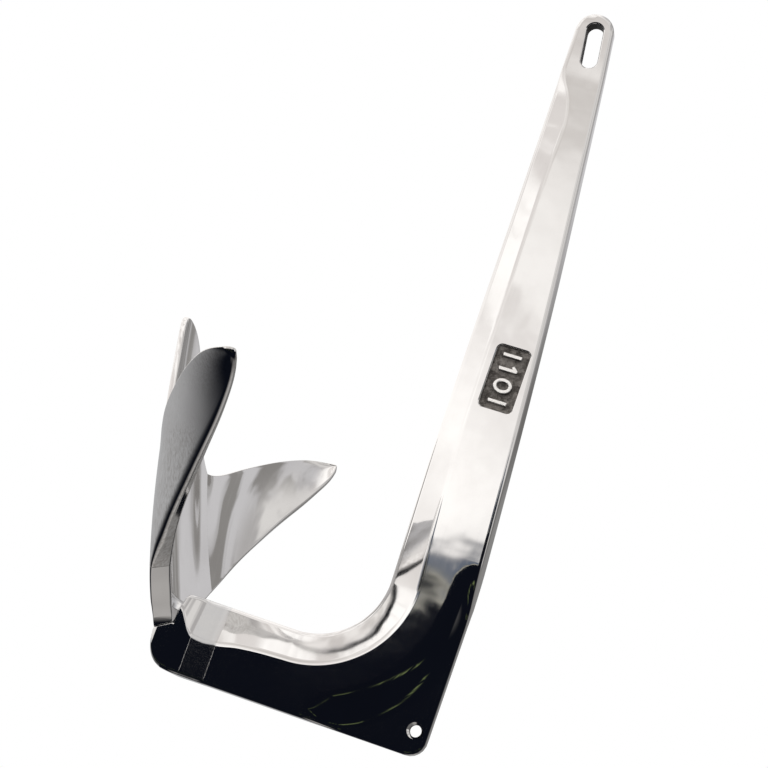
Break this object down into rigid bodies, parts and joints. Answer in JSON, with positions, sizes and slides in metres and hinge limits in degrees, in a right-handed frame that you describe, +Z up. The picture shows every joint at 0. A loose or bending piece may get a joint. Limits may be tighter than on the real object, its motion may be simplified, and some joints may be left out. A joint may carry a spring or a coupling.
{
  "type": "boat anchor",
  "caption": "Rigid claw anchor in polished stainless steel: J-shaped shank with a shackle slot and a trip-line hole, and a scoop of three palms.",
  "frame": {"origin": "the middle of the shackle slot, where the anchor hangs, on its plane of symmetry", "axes": "+Z up the shank towards its head, +X from the claw towards the heel, +Y across the claw; y = 0 is the plane of symmetry"},
  "size_m": [0.2904, 0.392, 0.5899],
  "materials": {
    "polished_steel": "mirror-polished stainless steel",
    "dressed_weld": "ground and polished weld",
    "raised_mark": "rubbed-bright cast relief"
  },
  "bodies": {
    "root": {"shank": "polished_steel", "crown": "polished_steel", "crown_weld": "dressed_weld", "centre_palm": "polished_steel", "left_palm": "polished_steel", "right_palm": "polished_steel", "throat_weld": "dressed_weld", "mark_upper_bar": "raised_mark", "mark_1": "raised_mark", "mark_0": "raised_mark", "mark_lower_bar": "raised_mark"}
  },
  "joints": []
}
